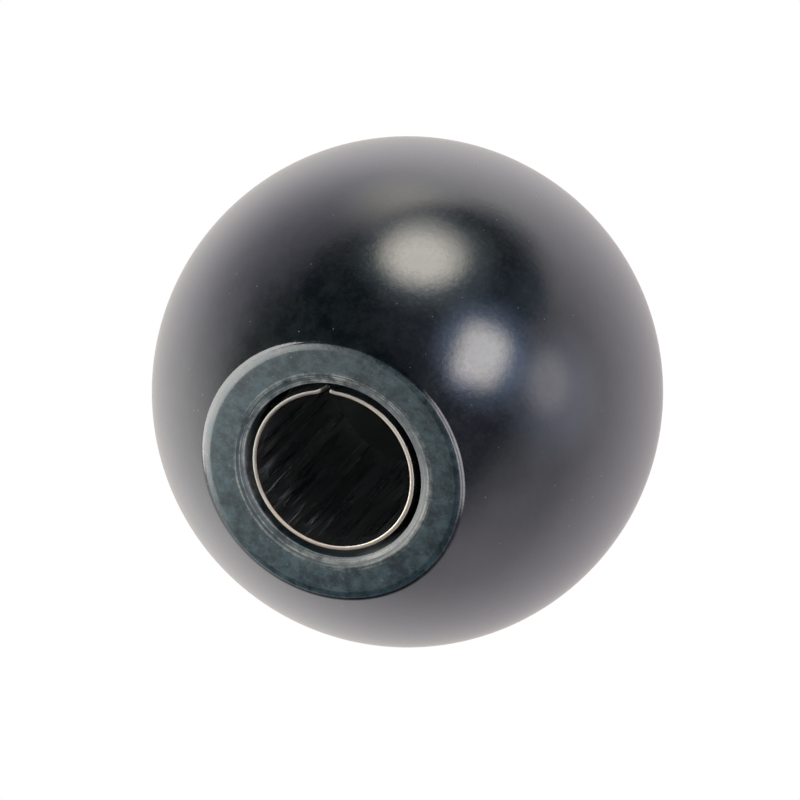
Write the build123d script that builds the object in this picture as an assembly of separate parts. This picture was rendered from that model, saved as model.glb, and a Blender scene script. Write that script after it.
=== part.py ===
from build123d import *
import math
import os

# A ball handle that is pushed onto a plain round rod.
# All sizes are in millimetres. The origin is the centre of the flat face, +Z runs along the bore into the
# ball, and the split of the ring faces -Y.

# The rod that the handle is pushed onto
rod_diameter = 10.0

# The clamping ring: one strip of spring steel, rolled round the rod
ring_squeeze = 0.01        # the free ring is this much smaller in radius than the rod, so that it grips
strip_thickness = 0.27
ring_width = 14.0          # along the bore
plain_band = 1.2           # unwaved strip at each end of the ring
wave_height = 0.43         # how far a wave stands out from the band
wave_angle = 13.5          # width of a wave round the ring, in degrees
wave_crest_radius = 0.42   # rounding of its crest
wave_run_in = 1.1          # length over which its ends slope up from the band
wave_places = 15           # pitches in a full turn; the split takes one of them
first_wave_angle = 16.0    # from the split to the middle of the first wave, in degrees
split_gap_angle = 2.0      # between the two ends of the strip, in degrees
flare_angle = 10.5         # length of the end that is turned outward, in degrees
flare_height = 0.42        # how far its tip is turned outward
spring_angle = 4.5         # length of the square-cut end, which stands off a little, in degrees
spring_height = 0.1        # how far it stands off

# The bore in the ball
crest_clearance = 0.02     # between the waves and the bore's wall
ring_recess = 0.2          # from the flat face in to the ring
rod_run_out = 5.8          # depth of the bore past the ring
bottom_chamfer = 0.8       # between the bore's wall and its bottom
mouth_width = 0.66         # radial width of the eased mouth
mouth_depth = 0.17         # depth of that easing

# The ball
ball_diameter = 32.0
face_land = 1.5            # width of the flat left between the mouth and the rounded edge
edge_width = 0.7           # of the rounded edge, measured across
edge_slope = 24.0          # at its outer side, in degrees, where it meets the steeper sphere

# Sizes that follow from those above
ring_inner_radius = rod_diameter / 2 - ring_squeeze
band_outer_radius = ring_inner_radius + strip_thickness
bore_radius = band_outer_radius + wave_height + crest_clearance
bore_depth = ring_recess + ring_width + rod_run_out
mouth_outer_radius = bore_radius + mouth_width
face_radius = mouth_outer_radius + face_land
ball_radius = ball_diameter / 2

# The rounded edge leaves the flat face smoothly and meets the sphere at a slight crease
edge_angle = math.radians(edge_slope)
edge_radius = edge_width / math.sin(edge_angle)
sphere_angle = math.asin((face_radius + edge_width) / ball_radius)
ball_centre_height = edge_radius * (1 - math.cos(edge_angle)) + ball_radius * math.cos(sphere_angle)


def section_point(radius, height):
    """A point of the ball's half section."""
    return Vector(radius, 0, height)


def section_arc(centre_height, centre_radius, radius, start_angle, end_angle):
    """An arc of the half section, with angles in radians counted from straight down, outward positive."""
    points = [
        section_point(centre_radius + radius * math.sin(angle), centre_height - radius * math.cos(angle))
        for angle in (start_angle, (start_angle + end_angle) / 2, end_angle)
    ]
    return ThreePointArc(*points)


def make_ball():
    """The ball: its half section, turned round the bore's axis."""
    edge = section_arc(edge_radius, face_radius, edge_radius, 0, edge_angle)
    sphere = section_arc(ball_centre_height, 0, ball_radius, sphere_angle, math.pi)
    bore = Polyline(
        sphere @ 1,
        section_point(0, bore_depth),
        section_point(bore_radius - bottom_chamfer, bore_depth),
        section_point(bore_radius, bore_depth - bottom_chamfer),
        section_point(bore_radius, mouth_depth),
        section_point(mouth_outer_radius, 0),
        edge @ 0,
    )
    return revolve(make_face(Wire([*bore.edges(), edge, sphere])), Axis.Z, 360)


def ring_point(radius, angle, height=0):
    """A point of the ring, with the angle in degrees counted from the split."""
    turned = math.radians(angle - 90)
    return Vector(radius * math.cos(turned), radius * math.sin(turned), height)


def make_strip():
    """The rolled strip before its waves, with one end turned outward and the other standing off a little."""
    middle_radius = ring_inner_radius + strip_thickness / 2
    half_gap = split_gap_angle / 2
    body_start = half_gap + spring_angle
    body_end = 360 - half_gap - flare_angle
    body = ThreePointArc(
        *[ring_point(middle_radius, angle) for angle in (body_start, (body_start + body_end) / 2, body_end)]
    )
    flare_tip = ring_point(middle_radius + flare_height, -half_gap)
    flared_end = TangentArc(body @ 1, flare_tip, tangent=body % 1)
    sprung_tip = ring_point(middle_radius + spring_height, half_gap)
    sprung_end = TangentArc(body @ 0, sprung_tip, tangent=(body % 0) * -1)
    section = trace(Wire([sprung_end, body, flared_end]), strip_thickness)
    return extrude(section, ring_width, dir=(0, 0, 1))


def wave_section(depth, base_radius):
    """The cross-section under a wave's outer face, or under a face that lies a depth below it.

    Straight flanks rise from the band and touch the rounded crest. The base is a straight line.
    """
    foot_across = band_outer_radius * math.sin(math.radians(wave_angle / 2))
    crest_centre = band_outer_radius + wave_height - wave_crest_radius
    climb = crest_centre - band_outer_radius * math.cos(math.radians(wave_angle / 2))
    foot_to_centre = math.hypot(foot_across, climb)
    steepness = math.atan2(climb, foot_across) + math.asin(wave_crest_radius / foot_to_centre)

    crest_radius = wave_crest_radius - depth
    touch_across = crest_radius * math.sin(steepness)
    touch_out = crest_centre + crest_radius * math.cos(steepness)
    base_across = touch_across + (touch_out - base_radius) / math.tan(steepness)
    crest_top = Vector(0, -crest_centre - crest_radius)
    crest = ThreePointArc((-touch_across, -touch_out), crest_top, (touch_across, -touch_out))
    base = Polyline(crest @ 1, (base_across, -base_radius), (-base_across, -base_radius), crest @ 0)
    return make_face(Wire([crest, *base.edges()]))


def wave_side(depth, base_radius):
    """The side view of the same room, which slopes up from the band at both ends."""
    crest_top = band_outer_radius + wave_height
    set_back = depth * math.hypot(wave_run_in, wave_height) / wave_height
    base_start = plain_band + set_back - (band_outer_radius - base_radius) * wave_run_in / wave_height
    crest_start = plain_band + set_back + wave_run_in
    corners = [
        Vector(0, -base_radius, base_start),
        Vector(0, -crest_top, crest_start),
        Vector(0, -crest_top, ring_width - crest_start),
        Vector(0, -base_radius, ring_width - base_start),
    ]
    return make_face(Polyline(*corners, close=True))


def make_wave_room(depth, base_radius):
    """The solid that has that cross-section and that side view."""
    along = extrude(wave_section(depth, base_radius), ring_width, dir=(0, 0, 1))
    across = extrude(wave_side(depth, base_radius), band_outer_radius, dir=(1, 0, 0), both=True)
    return along & across


def make_clamping_ring():
    """The ring: each wave is a ridge outside the strip, with a hollow cut a strip's thickness behind it."""
    pitch = 360 / wave_places
    turns = [Rot(0, 0, first_wave_angle + pitch * place) for place in range(wave_places - 1)]
    inside_strip = (ring_inner_radius + strip_thickness / 2) * math.cos(math.radians(wave_angle / 2))
    ridge = make_wave_room(0, inside_strip)
    hollow = make_wave_room(strip_thickness, ring_inner_radius - strip_thickness)
    ring = make_strip() + [turn * ridge for turn in turns] - [turn * hollow for turn in turns]
    return Pos(0, 0, ring_recess) * ring


export_folder = "parts"
os.makedirs(export_folder, exist_ok=True)
for name, solid in {"ball": make_ball(), "clamping_ring": make_clamping_ring()}.items():
    export_step(solid, f"{export_folder}/{name}.step")
    print(name, len(solid.solids()), "solid,", round(solid.volume, 2), "mm3")
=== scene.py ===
from math import asin, cos, degrees, pi, radians, sin
import bmesh
import bpy
from mathutils import Matrix, Vector


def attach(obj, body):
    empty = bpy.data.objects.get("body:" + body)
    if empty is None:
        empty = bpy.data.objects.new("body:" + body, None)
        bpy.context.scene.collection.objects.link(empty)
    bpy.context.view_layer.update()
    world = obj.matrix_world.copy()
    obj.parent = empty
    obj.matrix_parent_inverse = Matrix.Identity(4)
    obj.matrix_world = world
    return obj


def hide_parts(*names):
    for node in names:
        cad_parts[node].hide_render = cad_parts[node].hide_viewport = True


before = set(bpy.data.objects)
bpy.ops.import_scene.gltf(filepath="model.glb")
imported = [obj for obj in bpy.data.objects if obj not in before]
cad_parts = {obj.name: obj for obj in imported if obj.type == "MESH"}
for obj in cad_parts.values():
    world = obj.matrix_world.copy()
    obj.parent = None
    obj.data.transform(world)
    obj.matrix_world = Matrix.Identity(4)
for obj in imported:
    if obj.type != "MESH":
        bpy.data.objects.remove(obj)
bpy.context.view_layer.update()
mm = 0.001
plainWhite = (1.0, 1.0, 1.0, 1.0)
print("frame: nodes", sorted(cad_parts))


# An output socket in an expression: every sign adds one Math node
class Socket:
    def __init__(self, graph, output):
        self.graph = graph
        self.output = output

    def __add__(self, other):
        return self.graph.maths("ADD", self, other)

    def __radd__(self, other):
        return self.graph.maths("ADD", other, self)

    def __sub__(self, other):
        return self.graph.maths("SUBTRACT", self, other)

    def __rsub__(self, other):
        return self.graph.maths("SUBTRACT", other, self)

    def __mul__(self, other):
        return self.graph.maths("MULTIPLY", self, other)

    def __rmul__(self, other):
        return self.graph.maths("MULTIPLY", other, self)

    def __truediv__(self, other):
        return self.graph.maths("DIVIDE", self, other)

    def __pow__(self, other):
        return self.graph.maths("POWER", self, other)

    def __abs__(self):
        return self.graph.maths("ABSOLUTE", self)


# The nodes of one material, lamp or world
class Graph:
    def __init__(self, owner):
        owner.use_nodes = True
        self.tree = owner.node_tree
        self.tree.nodes.clear()

    # Adds a node: its settings first, then the values or links of its sockets. What comes back is called to
    # pick an output
    def node(self, kind, settings=None, sockets=None):
        made = self.tree.nodes.new("ShaderNode" + kind)
        for name, value in (settings or {}).items():
            setattr(made, name, value)
        for name, value in (sockets or {}).items():
            if isinstance(value, Socket):
                self.tree.links.new(value.output, made.inputs[name])
            else:
                made.inputs[name].default_value = value
        return lambda name=0: Socket(self, made.outputs[name])

    def maths(self, operation, *values):
        return self.node("Math", {"operation": operation}, dict(enumerate(values)))()

    # The same on vectors: a length, a distance and a dot product come out of Value
    def vectorMaths(self, operation, *values, output="Vector"):
        return self.node("VectorMath", {"operation": operation}, dict(enumerate(values)))(output)

    def vector(self, x, y, z=0.0):
        return self.node("CombineXYZ", None, {0: x, 1: y, 2: z})()

    # 0 below the first value, 1 above the second, and a smooth rise between them
    def rise(self, value, start, end):
        sockets = {"Value": value, "From Min": start, "From Max": end, "To Min": 0.0, "To Max": 1.0}
        return self.node("MapRange", {"interpolation_type": "SMOOTHSTEP"}, sockets)()

    # The other way round: 1 below the first value and 0 above the second
    def fall(self, value, start, end):
        return 1 - self.rise(value, start, end)

    def mixColour(self, factor, first, second):
        return self.node("Mix", {"data_type": "RGBA"}, {0: factor, 6: first, 7: second})(2)


def makeMaterial(name):
    material = bpy.data.materials.new(name)
    return material, Graph(material)


# A number that passes from the first value to the second as the share goes from 0 to 1
def blend(share, first, second):
    return first + share * (second - first)


# A point of a piece: its own coordinates, and in mm its X, Y, height and distance from the bore's axis
def pointOnPiece(graph):
    place = graph.node("TexCoord")("Object")
    parts = graph.node("SeparateXYZ", None, {0: place})
    x, y, height = (parts(axis) / mm for axis in "XYZ")
    radius = graph.vectorMaths("LENGTH", graph.vector(x, y), output="Value")
    return place, x, y, height, radius


def finishMesh(bm, name, sharpAngle=30.0):
    mesh = bpy.data.meshes.new(name)
    bm.to_mesh(mesh)
    bm.free()
    mesh.polygons.foreach_set("use_smooth", [True] * len(mesh.polygons))
    mesh.set_sharp_from_angle(angle=radians(sharpAngle))
    piece = bpy.data.objects.new(name, mesh)
    bpy.context.scene.collection.objects.link(piece)
    return piece


# Camera: it looks up at the flat face from below, turned about its own axis as the photograph is
viewpoint = {
    "azimuth": 42.1,        # degrees, as are the next two: 0 looks along +Y and 90 along -X
    "elevation": -60.46,
    "roll": 43.52,
    "distance": 480.0,      # mm from the ball's centre
    "lens": 345.0,          # mm, on a sensor of this width
    "sensor": 36.0,
    "aside": (-0.468, -0.510),  # mm right and up, which puts the ball where the photograph has it
}

ballSizes = {               # mm, the same as the solid's
    "diameter": 32.0,
    "edgeWidth": 0.7,
    "edgeSlope": 24.0,      # degrees, where the rounded edge meets the sphere
    "faceRadius": 7.87,
    "mouthRadius": 6.37,
    "mouthDepth": 0.17,
    "boreRadius": 5.71,
    "boreDepth": 20.0,
    "bottomChamfer": 0.8,
    "mouthRounding": 0.07,  # this and the next are the small roundings that the solid leaves out
    "creaseRounding": 0.05,
    "steps": 256,           # round the ball
    "arcSteps": 96,         # along the sphere's profile
    "edgeSteps": 7,         # along the rounded edge
    "roundingSteps": 4,     # along each small rounding
    "sharpAngle": 40.0,     # degrees
    "mergeDistance": 0.0005,
}
edgeAngle = radians(ballSizes["edgeSlope"])
edgeRadius = ballSizes["edgeWidth"] / sin(edgeAngle)
sphereAngle = asin((ballSizes["faceRadius"] + ballSizes["edgeWidth"]) / (ballSizes["diameter"] / 2))
ballHeight = edgeRadius * (1 - cos(edgeAngle)) + ballSizes["diameter"] / 2 * cos(sphereAngle)


def placeCamera():
    azimuth, elevation, roll = (radians(viewpoint[name]) for name in ("azimuth", "elevation", "roll"))
    back = Vector((sin(azimuth) * cos(elevation), -cos(azimuth) * cos(elevation), sin(elevation)))
    level = Vector((cos(azimuth), sin(azimuth), 0))
    upright = back.cross(level)
    right = level * cos(roll) + upright * sin(roll)
    up = back.cross(right)
    axes = Matrix((right, up, back)).transposed()
    aside = right * viewpoint["aside"][0] + up * viewpoint["aside"][1]
    place = Vector((0, 0, ballHeight)) + back * viewpoint["distance"] + aside
    data = bpy.data.cameras.new("camera")
    data.lens = viewpoint["lens"]
    data.sensor_width = viewpoint["sensor"]
    camera = bpy.data.objects.new("camera", data)
    camera.matrix_world = Matrix.Translation(place * mm) @ axes.to_4x4()
    bpy.context.scene.collection.objects.link(camera)
    bpy.context.scene.camera = camera
    return axes


# The studio: a pale tent with a dark side, where the camera stands, and soft lamps. Each patch of it has its
# place as an angle off the line from the ball to the camera and a turn round that line, anticlockwise from
# the right, all in degrees. It is full inside core and fades out over fade
studio = {
    "farLevel": (0.636, 0.588, 0.569),     # the light on the far side, and what the walls add to it
    "wallLevel": (0.947, 0.902, 1.025),
    "farSide": {"off": 180.0, "turn": 0.0, "core": 0.0, "fade": 64.6},
    "plainLevel": 0.6,      # what falls on matt surfaces, as a share of what shows in gloss
    # Shades take a share of the red, green and blue behind them
    "shades": [
        {"off": 5.0, "turn": 170.3, "core": 48.8, "fade": 66.8, "depth": (0.88, 0.87, 0.84)},
        {"off": 87.2, "turn": 129.6, "core": 12.6, "fade": 46.0, "depth": (0.43, 0.44, 0.35)},
        {"off": 72.1, "turn": 76.9, "core": 18.1, "fade": 9.8, "depth": (1.00, 1.00, 0.80)},
        {"off": 43.7, "turn": 178.5, "core": 31.9, "fade": 24.5, "depth": (1.00, 1.00, 1.00)},
        {"off": 83.4, "turn": 61.7, "core": 5.5, "fade": 23.1, "depth": (1.00, 0.97, 0.92)},
        {"off": 69.1, "turn": 49.8, "core": 14.4, "fade": 9.5, "depth": (0.58, 0.48, 0.39)},
        {"off": 61.7, "turn": 116.0, "core": 13.3, "fade": 9.4, "depth": (0.66, 0.60, 0.66)},
        {"off": 42.4, "turn": 21.6, "core": 16.6, "fade": 4.9, "depth": (1.00, 1.00, 0.99)},
    ],
    # Round lamps add their light to what is behind them
    "lamps": [
        {"off": 67.3, "turn": 83.0, "core": 11.8, "fade": 9.8, "colour": (1.79, 1.60, 1.25)},
        {"off": 63.4, "turn": 81.4, "core": 8.6, "fade": 23.6, "colour": (1.07, 1.31, 1.43)},
        {"off": 39.2, "turn": 26.1, "core": 0.0, "fade": 28.9, "colour": (2.49, 3.17, 4.61)},
        {"off": 65.9, "turn": 4.0, "core": 4.4, "fade": 12.4, "colour": (1.27, 1.17, 1.14)},
        {"off": 94.9, "turn": 92.4, "core": 0.0, "fade": 22.9, "colour": (1.26, 1.19, 0.97)},
        {"off": 111.8, "turn": 207.9, "core": 0.0, "fade": 87.6, "colour": (0.69, 0.71, 0.62)},
        {"off": 120.2, "turn": 87.9, "core": 0.0, "fade": 66.8, "colour": (0.60, 0.62, 0.59)},
        {"off": 64.1, "turn": 320.4, "core": 7.5, "fade": 16.3, "colour": (0.36, 0.34, 0.36)},
        {"off": 72.7, "turn": 289.9, "core": 0.0, "fade": 33.2, "colour": (0.64, 0.59, 0.69)},
        {"off": 25.7, "turn": 17.2, "core": 0.0, "fade": 11.0, "colour": (1.78, 1.69, 2.00)},
        {"off": 62.0, "turn": 84.1, "core": 5.4, "fade": 15.2, "colour": (5.45, 4.97, 4.45)},
        {"off": 70.0, "turn": -0.2, "core": 7.9, "fade": 24.3, "colour": (0.81, 0.88, 1.14)},
    ],
    # The softbox has four sides and rounded corners. At a squareness of 2 it would be an ellipse
    "softbox": {
        "off": 37.4,
        "turn": 26.8,
        "halfSize": (12.3, 10.8),
        "spin": 37.8,
        "softEdge": 0.47,   # share of its size over which it fades, both inward and outward
        "squareness": 2.85,
        "colour": (5.60, 4.77, 3.63),
    },
    # Cards cover what is behind them: pale ones and a black one, which show only in the rounded edge
    "cards": [
        {"off": 21.0, "turn": 274.0, "core": 4.0, "fade": 9.0, "colour": (5.0, 4.9, 5.2)},
        {"off": 33.0, "turn": 282.0, "core": 4.0, "fade": 9.0, "colour": (5.6, 5.5, 5.8)},
        {"off": 45.0, "turn": 281.0, "core": 4.0, "fade": 9.0, "colour": (5.0, 4.9, 5.2)},
        {"off": 75.0, "turn": 240.0, "core": 16.0, "fade": 22.0, "colour": (0.0, 0.0, 0.0)},
    ],
}
# Two real lamps: one close to the flat face, which shows in the rounded edge and the mouth, and one above the
# ball, which hides behind it from the camera
areaLamps = {
    "nearLamp": {
        "off": 70.1,
        "turn": 189.5,
        "distance": 35.0,   # mm from what it points at
        "aimHeight": 0.0,   # mm: the middle of the flat face
        "size": (29.6, 39.2),
        "spin": 27.9,
        "softEdge": 0.0,    # share of its radius over which it fades out
        "watts": 0.0205,
        "colour": (1.0, 0.985, 0.95),
    },
    "overheadLamp": {
        "off": 180.0,
        "turn": 0.0,
        "distance": 90.0,
        "aimHeight": ballHeight,
        "size": (36.0, 36.0),
        "spin": 0.0,
        "softEdge": 0.5,
        "watts": 0.028,
        "colour": (1.0, 1.0, 1.0),
    },
}


# A direction in the studio, from its two angles
def studioWay(axes, off, turn):
    off, turn = radians(off), radians(turn)
    return axes @ Vector((sin(off) * cos(turn), sin(off) * sin(turn), cos(off)))


def makeStudio(axes):
    world = bpy.data.worlds.new("studio")
    bpy.context.scene.world = world
    graph = Graph(world)
    ray = graph.node("LightPath")
    direction = graph.node("TexCoord")("Generated")

    # The cosine of the angle between a direction and one way
    def leaning(way):
        return graph.vectorMaths("DOT_PRODUCT", direction, way, output="Value")

    def patch(facts):
        almostOne = 0.99999  # keeps the cosine inside the arc cosine's range
        angle = graph.maths("ARCCOSINE", leaning(studioWay(axes, facts["off"], facts["turn"])) * almostOne)
        return graph.fall(angle, radians(facts["core"]), radians(facts["core"] + facts["fade"]))

    # How far a direction lies along each side, as a share of half of it. The two make one reach, which is 1
    # at the outline
    def softbox(facts):
        spin, squareness = radians(facts["spin"]), facts["squareness"]
        middle = studioWay(axes, facts["off"], facts["turn"])
        outward = studioWay(axes, facts["off"] + 90, facts["turn"])
        onward = middle.cross(outward)
        sides = (outward * cos(spin) + onward * sin(spin), onward * cos(spin) - outward * sin(spin))
        shares = [leaning(side / radians(half)) for side, half in zip(sides, facts["halfSize"])]
        reach = sum(abs(share) ** squareness for share in shares) ** (1 / squareness)
        ahead = graph.rise(leaning(middle), 0.0, 0.01)  # so that it has no twin on the opposite side
        return graph.fall(reach, 1 - facts["softEdge"], 1 + facts["softEdge"]) * ahead

    walls = 1 - patch(studio["farSide"])
    light = graph.vectorMaths("MULTIPLY_ADD", walls, studio["wallLevel"], studio["farLevel"])
    for shade in studio["shades"]:
        taken = [-depth for depth in shade["depth"]]
        left = graph.vectorMaths("MULTIPLY_ADD", patch(shade), taken, (1.0, 1.0, 1.0))
        light = graph.vectorMaths("MULTIPLY", light, left)
    for lamp in studio["lamps"]:
        light = graph.vectorMaths("MULTIPLY_ADD", patch(lamp), lamp["colour"], light)
    glow = softbox(studio["softbox"])
    light = graph.vectorMaths("MULTIPLY_ADD", glow, studio["softbox"]["colour"], light)
    for card in studio["cards"]:
        sockets = {0: patch(card), 4: light, 5: card["colour"]}
        light = graph.node("Mix", {"data_type": "VECTOR"}, sockets)(1)
    mirrored = graph.maths("MAXIMUM", ray("Is Glossy Ray"), ray("Is Transmission Ray"))
    strength = blend(mirrored, studio["plainLevel"], 1)
    lit = graph.node("Background", None, {"Color": light, "Strength": strength})()
    white = graph.node("Background", None, {"Color": plainWhite, "Strength": 1.0})()
    shown = graph.node("MixShader", None, {0: ray("Is Camera Ray"), 1: lit, 2: white})()
    graph.node("OutputWorld", None, {"Surface": shown})


def placeLamp(axes, name):
    facts = areaLamps[name]
    way = studioWay(axes, facts["off"], facts["turn"])
    # Any side does for the round lamp straight behind the ball
    level = way.orthogonal() if facts["off"] == 180 else way.cross(axes.col[2])
    spin = radians(facts["spin"])
    long = level.normalized() * cos(spin) + way.cross(level).normalized() * sin(spin)
    data = bpy.data.lights.new(name, "AREA")
    data.shape = "ELLIPSE"
    data.size, data.size_y = (size * mm for size in facts["size"])
    data.energy = facts["watts"]
    data.color = facts["colour"]
    graph = Graph(data)
    rim = 0.5  # the lamp's own coordinates run from 0 to 1 across it
    spot = graph.node("NewGeometry")("Parametric")
    out = graph.vectorMaths("DISTANCE", spot, (rim, rim, 0.0), output="Value")
    glow = graph.fall(out, rim * (1 - facts["softEdge"]), rim + 0.001)
    graph.node("OutputLight", None, {"Surface": graph.node("Emission", None, {"Strength": glow})()})
    lamp = bpy.data.objects.new(name, data)
    turned = Matrix((long, way.cross(long), way)).transposed().to_4x4()
    aim = Vector((0, 0, facts["aimHeight"]))
    lamp.matrix_world = Matrix.Translation((aim + way * facts["distance"]) * mm) @ turned
    lamp.visible_camera = False
    bpy.context.scene.collection.objects.link(lamp)


# The floor shows from above, with the shadow on it, and fades out far from the ball: into white for the
# camera, and into the studio in the ball's gloss. From below one looks through it, so that the flat face
# shows
floorFacts = {
    "size": 1.2,            # metres, as are the drop below the ball and the two distances of the fade
    "drop": 0.0001,
    "fade": (0.12, 0.5),
    "colour": (0.78, 0.78, 0.77, 1.0),
}


def makeFloor():
    bm = bmesh.new()
    bmesh.ops.create_grid(bm, x_segments=1, y_segments=1, size=floorFacts["size"] / 2)
    bmesh.ops.translate(bm, verts=bm.verts, vec=(0, 0, -floorFacts["drop"]))
    floor = finishMesh(bm, "floor")
    material, graph = makeMaterial("paleFloor")
    ray = graph.node("LightPath")
    out = graph.vectorMaths("LENGTH", graph.node("TexCoord")("Object"), output="Value")
    far = graph.rise(out, *floorFacts["fade"])
    below = graph.maths("MAXIMUM", graph.node("NewGeometry")("Backfacing"), ray("Transparent Depth"))
    through = graph.maths("MAXIMUM", below, far * ray("Is Glossy Ray"))
    matt = graph.node("BsdfDiffuse", None, {"Color": floorFacts["colour"]})()
    white = graph.node("Emission", None, {"Color": plainWhite, "Strength": 1.0})()
    pale = graph.node("MixShader", None, {0: far * ray("Is Camera Ray"), 1: matt, 2: white})()
    clear = graph.node("BsdfTransparent")()
    shown = graph.node("MixShader", None, {0: graph.maths("MINIMUM", through, 1.0), 1: pale, 2: clear})()
    graph.node("OutputMaterial", None, {"Surface": shown})
    floor.data.materials.append(material)


# Ball: its half section is two spun arcs and a run of straight lines, turned once round the bore's axis
def modelBall():
    sizes = ballSizes
    radius, chamfer = sizes["diameter"] / 2, sizes["bottomChamfer"]
    boreRadius, boreDepth = sizes["boreRadius"], sizes["boreDepth"]
    bm = bmesh.new()
    top = bm.verts.new((0, 0, ballHeight + radius))
    about = {"axis": (0, 1, 0), "dvec": (0, 0, 0), "use_duplicate": False}
    sphereEnd = bmesh.ops.spin(
        bm, geom=[top], cent=(0, 0, ballHeight), angle=pi - sphereAngle, steps=sizes["arcSteps"], **about
    )["geom_last"]
    crease = [v for v in sphereEnd if isinstance(v, bmesh.types.BMVert)]
    faceEdge = bmesh.ops.spin(
        bm, geom=crease, cent=(sizes["faceRadius"], 0, edgeRadius), angle=edgeAngle, steps=sizes["edgeSteps"],
        **about
    )["geom_last"]
    last = [v for v in faceEdge if isinstance(v, bmesh.types.BMVert)][0]
    corners = []
    for across, up in [
        (sizes["mouthRadius"], 0),
        (boreRadius, sizes["mouthDepth"]),
        (boreRadius, boreDepth - chamfer),
        (boreRadius - chamfer, boreDepth),
        (0, boreDepth),
    ]:
        corner = bm.verts.new((across, 0, up))
        bm.edges.new((last, corner))
        corners.append(corner)
        last = corner
    softly = {"segments": sizes["roundingSteps"], "profile": 0.5, "affect": "VERTICES", "material": -1}
    bmesh.ops.bevel(bm, geom=crease, offset=sizes["creaseRounding"], **softly)
    bmesh.ops.bevel(bm, geom=corners[:4], offset=sizes["mouthRounding"], **softly)
    bmesh.ops.scale(bm, verts=bm.verts, vec=(mm, mm, mm))
    bmesh.ops.spin(
        bm, geom=bm.verts[:] + bm.edges[:], cent=(0, 0, 0), axis=(0, 0, 1), dvec=(0, 0, 0), angle=2 * pi,
        steps=sizes["steps"], use_merge=True, use_duplicate=False
    )
    bmesh.ops.remove_doubles(bm, verts=bm.verts, dist=sizes["mergeDistance"] * mm)
    bmesh.ops.recalc_face_normals(bm, faces=bm.faces)
    return finishMesh(bm, "ballMoulding", sizes["sharpAngle"])


moulding = {
    "gloss": (0.003, 0.005, 0.0065, 1.0),        # the polished ball and its paler patches
    "haze": (0.0098, 0.0128, 0.0142, 1.0),
    "flat": (0.0065, 0.0138, 0.0175, 1.0),       # the matt flat and its paler patches
    "flatLight": (0.0155, 0.038, 0.0455, 1.0),
    "groove": (0.24, 0.23, 0.21, 1.0),           # the turned marks round the mouth
    "bore": (0.16, 0.165, 0.16, 1.0),
    "speck": (0.16, 0.16, 0.17, 1.0),            # dust
    "glossRoughness": 0.05,
    "flatRoughness": 0.56,
    "edgeRoughness": 0.33,
    "mouthRoughness": 0.4,
    "patchRoughness": (0.03, 0.14),      # how far the patches differ, on the ball and on the flat
    "rippleRoughness": 0.09,
    "rippleEdge": (0.42, 0.62),
    "poreShine": 0.2,         # of the flat's pores, where 0.5 is clean moulding
    "poreCover": (0.9, 0.6),  # the pores' share of the flat, and how much less it is in the pale patches
    "refraction": 1.6,
    "noiseRoughness": 0.6,
    "clouds": (600.0, 3.0),   # scale and detail of the noises, from coarse to fine
    "mottle": (2000.0, 4.0),
    "ripple": (3400.0, 2.0),
    "grit": (6000.0, 3.0),
    "patchShares": (0.45, 0.37, 0.18),   # of clouds, mottle and grit in the pale patches
    "patchEdge": (0.38, 0.64),
    "lineScale": (11.0, 0.12),           # of the turned lines, per mm outward and per mm along
    "lineDetail": 2.0,
    "grooveEdge": (0.42, 0.66),
    "dust": (900.0, 0.055, 0.5),         # scale, size of a speck in its cell, and how much it covers
    "fineDust": (2200.0, 0.11, 0.35),    # the same, on the matt parts
    "speckCore": 0.6,                    # share of a speck that is full
    "grainHeight": 0.012,                # mm
    "grainStrength": 0.5,
    "rippleDepth": 0.6,                  # in the grain, where grit is 1
    "mottleDepth": 1.3,
    "lineDepths": (0.3, 2.2, 0.8),       # on the flat, and what the mouth and the edge add to it
}
# Where one finish passes into the next: a radius of the ball, and from where to where in mm beyond it
mouldingBorders = {
    "bore": ("boreRadius", -0.05, 0.1),
    "mouth": ("mouthRadius", -0.1, 0.1),
    "grooves": ("mouthRadius", -0.1, 0.3),
    "pores": ("mouthRadius", -0.05, 0.05),
    "edge": ("faceRadius", 0.0, 0.12),
    "polish": ("faceRadius", 0.42, 0.54),
}
# The same along the bore, from where to where in mm above the flat face
mouldingHeights = {
    "bore": (0.3, 2.0),     # the bore's own colour comes in
    "pores": (1.0, 2.0),    # the flat's pores end
    "polish": (ballSizes["boreDepth"] + 0.2, ballSizes["boreDepth"] + 0.4),  # the ball's top begins
}


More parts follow.
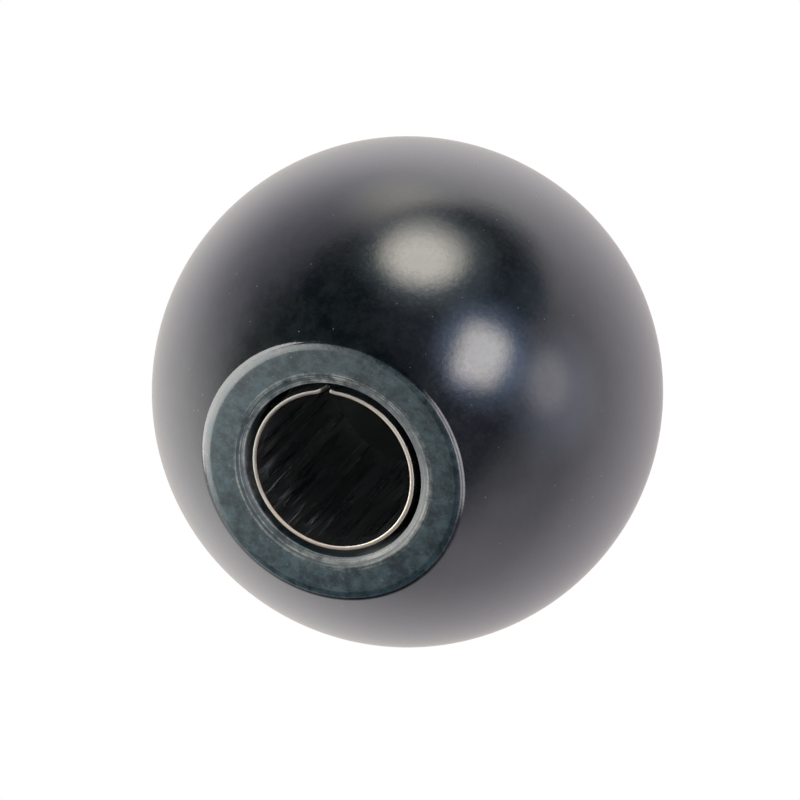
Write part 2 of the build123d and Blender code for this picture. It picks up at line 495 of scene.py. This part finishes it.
def makeMoulding():
    material, graph = makeMaterial("blackMoulding")
    place, x, y, height, radius = pointOnPiece(graph)

    def noise(scale, detail, vector=place):
        sockets = {"Vector": vector, "Scale": scale, "Detail": detail}
        return graph.node("TexNoise", None, sockets | {"Roughness": moulding["noiseRoughness"]})()

    def specks(scale, size, cover):
        cells = graph.node("TexVoronoi", None, {"Vector": place, "Scale": scale})
        return graph.fall(cells("Distance"), size * moulding["speckCore"], size) * cover

    # 0 inside a border and 1 outside it
    def beyond(name):
        base, start, end = mouldingBorders[name]
        return graph.rise(radius, ballSizes[base] + start, ballSizes[base] + end)

    # From the middle outward: bore, turned mouth, matt flat, its smoother edge and the polished ball
    mouth, edge = 1 - beyond("mouth"), beyond("edge")
    matt = (1 - beyond("polish")) * graph.fall(height, *mouldingHeights["polish"])
    deep = (1 - beyond("bore")) * graph.rise(height, *mouldingHeights["bore"])
    flatOnly = beyond("pores") * (1 - edge) * graph.fall(height, *mouldingHeights["pores"])

    clouds, mottle, ripple, grit = (noise(*moulding[name]) for name in ("clouds", "mottle", "ripple", "grit"))
    cloudShare, mottleShare, gritShare = moulding["patchShares"]
    patchy = graph.rise(clouds * cloudShare + mottle * mottleShare + grit * gritShare, *moulding["patchEdge"])
    outward, along = moulding["lineScale"]
    turned = graph.vector(radius * outward, x * along, y * along)
    lines = noise(1.0, moulding["lineDetail"], turned)
    grooves = graph.rise(lines, *moulding["grooveEdge"]) * (1 - beyond("grooves")) * matt

    ballColour = graph.mixColour(patchy, moulding["gloss"], moulding["haze"])
    flatColour = graph.mixColour(patchy, moulding["flat"], moulding["flatLight"])
    flatColour = graph.mixColour(grooves * patchy, flatColour, moulding["groove"])
    flatColour = graph.mixColour(deep, flatColour, moulding["bore"])
    colour = graph.mixColour(matt, ballColour, flatColour)
    dust = graph.maths("MAXIMUM", specks(*moulding["dust"]), specks(*moulding["fineDust"]) * matt)
    colour = graph.mixColour(dust, colour, moulding["speck"])

    onBall, onFlat = moulding["patchRoughness"]
    blurred = graph.rise(ripple, *moulding["rippleEdge"]) * moulding["rippleRoughness"]
    gloss = moulding["glossRoughness"] + patchy * onBall + blurred
    dull = blend(edge, moulding["flatRoughness"], moulding["edgeRoughness"])
    dull = blend(mouth, dull, moulding["mouthRoughness"]) + (patchy - 0.5) * onFlat
    roughness = blend(matt, gloss, dull)

    # The ball has only a faint ripple, and the turned lines are deepest in the mouth
    flatDepth, mouthDepth, edgeDepth = moulding["lineDepths"]
    lineDepth = flatDepth + mouth * mouthDepth + edge * edgeDepth
    coarse = mottle * moulding["mottleDepth"] + grit + lines * lineDepth
    surface = ripple * moulding["rippleDepth"] + matt * coarse
    depth = {"Strength": moulding["grainStrength"], "Distance": moulding["grainHeight"] * mm}
    grain = graph.node("Bump", None, depth | {"Height": surface})()
    finish = {
        "Base Color": colour, "Roughness": roughness, "IOR": moulding["refraction"], "Normal": grain,
    }
    clean = graph.node("BsdfPrincipled", None, finish)()
    porous = graph.node("BsdfPrincipled", None, finish | {"Specular IOR Level": moulding["poreShine"]})()
    most, less = moulding["poreCover"]
    pores = flatOnly * (most - less * patchy)
    shader = graph.node("MixShader", None, {0: pores, 1: clean, 2: porous})()
    graph.node("OutputMaterial", None, {"Surface": shader})
    return material


# Clamping ring: a flat strip is pressed with its waves and then rolled up, as the real one is
ringSizes = {               # mm and degrees, the same as the solid's
    "innerRadius": 4.99,
    "thickness": 0.27,
    "width": 14.0,
    "recess": 0.2,
    "plainBand": 1.2,
    "waveHeight": 0.43,
    "waveAngle": 13.5,      # width of a wave round the ring
    "runIn": 1.1,           # length over which a wave's ends slope up from the plain band
    "waves": 14,
    "pitch": 24.0,
    "firstWave": 16.0,      # this and the next two are counted from the middle of the split
    "start": 1.0,
    "end": 359.0,
    "springAngle": 4.5,     # the square-cut end, which stands off a little
    "springHeight": 0.1,
    "flareAngle": 10.5,     # the end that is turned outward
    "flareHeight": 0.42,
    "edgeRounding": 0.05,   # the solid leaves this out
    "roundedAngle": 60.0,   # edges that turn by more than this are rounded
    "roundingSteps": 3,
    "stepsRound": 358,
    "stepsAcross": 64,
    "smoothings": 2,        # of the pressed form
    "sharpAngle": 50.0,
}


# How far a wave is pressed out at a place on the flat strip
def pressedHeight(angle, across):
    sizes = ringSizes
    number = round((angle - sizes["firstWave"]) / sizes["pitch"])
    if not 0 <= number < sizes["waves"]:
        return 0.0
    offset = (angle - sizes["firstWave"] - number * sizes["pitch"]) / (sizes["waveAngle"] / 2)
    section = 1 - offset * offset
    slope = (min(across, sizes["width"] - across) - sizes["plainBand"]) / sizes["runIn"]
    return sizes["waveHeight"] * max(0.0, min(section, slope, 1.0))


def modelRing():
    sizes = ringSizes
    outerRadius = sizes["innerRadius"] + sizes["thickness"]
    bm = bmesh.new()
    bmesh.ops.create_grid(bm, x_segments=sizes["stepsRound"], y_segments=sizes["stepsAcross"], size=0.5)
    for v in bm.verts:  # the flat strip: X in degrees round the ring, Y across it, Z its pressed height
        angle = sizes["start"] + (v.co.x + 0.5) * (sizes["end"] - sizes["start"])
        across = (v.co.y + 0.5) * sizes["width"]
        v.co = (angle, across, pressedHeight(angle, across))
    upward = {"use_axis_x": False, "use_axis_y": False, "use_axis_z": True}
    for _ in range(sizes["smoothings"]):
        bmesh.ops.smooth_vert(bm, verts=bm.verts, factor=0.5, **upward)
    for v in bm.verts:  # rolled up, with its two ends set
        angle, across, height = v.co
        spring = max(0.0, sizes["start"] + sizes["springAngle"] - angle) / sizes["springAngle"]
        flare = max(0.0, angle - sizes["end"] + sizes["flareAngle"]) / sizes["flareAngle"]
        setOff = sizes["springHeight"] * spring**2 + sizes["flareHeight"] * flare**2
        radius = outerRadius + height + setOff
        turned = radians(angle - 90)
        v.co = (radius * cos(turned), radius * sin(turned), sizes["recess"] + across)
    bm.normal_update()
    bmesh.ops.solidify(bm, geom=bm.faces[:], thickness=sizes["thickness"])  # inward from here
    bm.normal_update()
    turn = radians(sizes["roundedAngle"])
    edges = [e for e in bm.edges if len(e.link_faces) == 2 and e.calc_face_angle() > turn]
    bmesh.ops.bevel(
        bm, geom=edges, offset=sizes["edgeRounding"], segments=sizes["roundingSteps"], profile=0.5,
        affect="EDGES", material=-1
    )
    bmesh.ops.scale(bm, verts=bm.verts, vec=(mm, mm, mm))
    return finishMesh(bm, "clampingRing", sizes["sharpAngle"])


steel = {
    "cutEdgeLitSide": (0.52, 0.48, 0.42, 1.0),          # the edge in the bore's mouth, painted lit on one side and shaded on the other
    "cutEdgeShadedSide": (0.14, 0.134, 0.124, 1.0),
    "burr": (0.16, 0.07, 0.04, 1.0),             # a brown line beside that edge
    "inside": (0.33, 0.34, 0.35, 1.0),
    "scratch": (0.6, 0.6, 0.57, 1.0),
    "tip": (0.02, 0.018, 0.015, 1.0),            # the end that is turned outward, painted dark as shade
    "edgeRoughness": 0.4,
    "insideRoughness": 0.3,
    "streakRoughness": 0.3,      # how far the streaks differ
    "streakScale": (0.3, 0.06),  # per degree round the ring and per mm along it
    "streakNoise": {"Scale": 2.0, "Detail": 2.0},
    "scratchScale": (1.9, 0.12),
    "scratchNoise": {"Scale": 1.0, "Detail": 1.0},
    "scratchEdge": (0.64, 0.69),
    "scratchedMetal": 0.9,       # how far a scratch turns matt
    "streakHeight": 0.012,       # mm
    "streakStrength": 0.03,
    "litSideWay": (0.143, 0.1333),  # towards the cut edge's painted lit side, per mm from the axis
    "litSideRange": (-1.0, 0.35),
    "litSidePatches": (900.0, 3.0, 0.6),   # scale, detail and how far they differ
    "rubbedWay": (-0.91, 0.42),  # towards the scratched side
}
# Where one finish passes into the next: in mm from the edge in the mouth, from the strip's inside or from the
# bore's axis, or in degrees from the split
steelBorders = {
    "cutAlong": (0.02, 0.045),
    "cutOutward": (0.01, 0.035),
    "burrAlong": (0.03, 0.09),
    "tipStart": (-8.0, -4.5),
    "tipEnd": (0.0, 0.5),
    "rubbedSide": (2.0, 4.0),
    "rubbedAlong": (2.5, 4.5),
}


def makeSteel():
    material, graph = makeMaterial("springSteel")
    place, x, y, height, radius = pointOnPiece(graph)
    along = height - ringSizes["recess"]
    outward = radius - ringSizes["innerRadius"]
    fromSplit = graph.maths("ARCTAN2", y, x) * degrees(1) + 90  # degrees, and the split faces -Y
    borders = steelBorders

    def towards(way):
        return x * way[0] + y * way[1]

    cut = graph.fall(along, *borders["cutAlong"]) * graph.rise(outward, *borders["cutOutward"])
    burr = graph.fall(along, *borders["burrAlong"])
    # Painted shade: the end turned outward is darkened
    tip = graph.rise(fromSplit, *borders["tipStart"]) * graph.fall(fromSplit, *borders["tipEnd"])
    rubbed = graph.rise(towards(steel["rubbedWay"]), *borders["rubbedSide"])
    rubbed = rubbed * graph.fall(along, *borders["rubbedAlong"])

    # A noise that is drawn out along the ring's width
    def drawnOut(scale, noise):
        stretched = graph.vector(fromSplit * scale[0], along * scale[1])
        return graph.node("TexNoise", None, {"Vector": stretched} | noise)()

    streaks = drawnOut(steel["streakScale"], steel["streakNoise"])
    fine = drawnOut(steel["scratchScale"], steel["scratchNoise"])
    scored = graph.rise(fine, *steel["scratchEdge"]) * rubbed * (1 - cut)
    scale, detail, differ = steel["litSidePatches"]
    patches = graph.node("TexNoise", None, {"Vector": place, "Scale": scale, "Detail": detail})()
    # Painted light and shade: the cut edge is lighter towards one side and darker towards the other, with
    # random patches
    litSide = towards(steel["litSideWay"]) + (patches - 0.5) * differ
    litSide = graph.rise(litSide, *steel["litSideRange"])

    cutEdgeWithPaintedLight = graph.mixColour(litSide, steel["cutEdgeShadedSide"], steel["cutEdgeLitSide"])
    inside = graph.mixColour(scored, steel["inside"], steel["scratch"])
    colour = graph.mixColour(cut, graph.mixColour(burr, inside, steel["burr"]), cutEdgeWithPaintedLight)
    colour = graph.mixColour(tip, colour, steel["tip"])
    roughness = steel["insideRoughness"] + (streaks - 0.5) * steel["streakRoughness"]
    roughness = blend(cut, roughness, steel["edgeRoughness"])
    depth = {"Strength": steel["streakStrength"], "Distance": steel["streakHeight"] * mm}
    shader = graph.node("BsdfPrincipled", None, {
        "Base Color": colour,
        "Metallic": 1 - scored * steel["scratchedMetal"],
        "Roughness": roughness,
        "Normal": graph.node("Bump", None, depth | {"Height": streaks})(),
    })()
    graph.node("OutputMaterial", None, {"Surface": shader})
    return material


bpy.context.scene.view_settings.view_transform = "Standard"
cameraAxes = placeCamera()
makeStudio(cameraAxes)
for lampName in areaLamps:
    placeLamp(cameraAxes, lampName)
makeFloor()
print("stage: camera, studio and floor")

ball = modelBall()
ball.data.materials.append(makeMoulding())
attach(ball, "root")
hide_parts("ball")
print("ball:", len(ball.data.polygons), "faces")

ring = modelRing()
ring.data.materials.append(makeSteel())
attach(ring, "root")
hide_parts("clamping_ring")
print("ring:", len(ring.data.polygons), "faces")
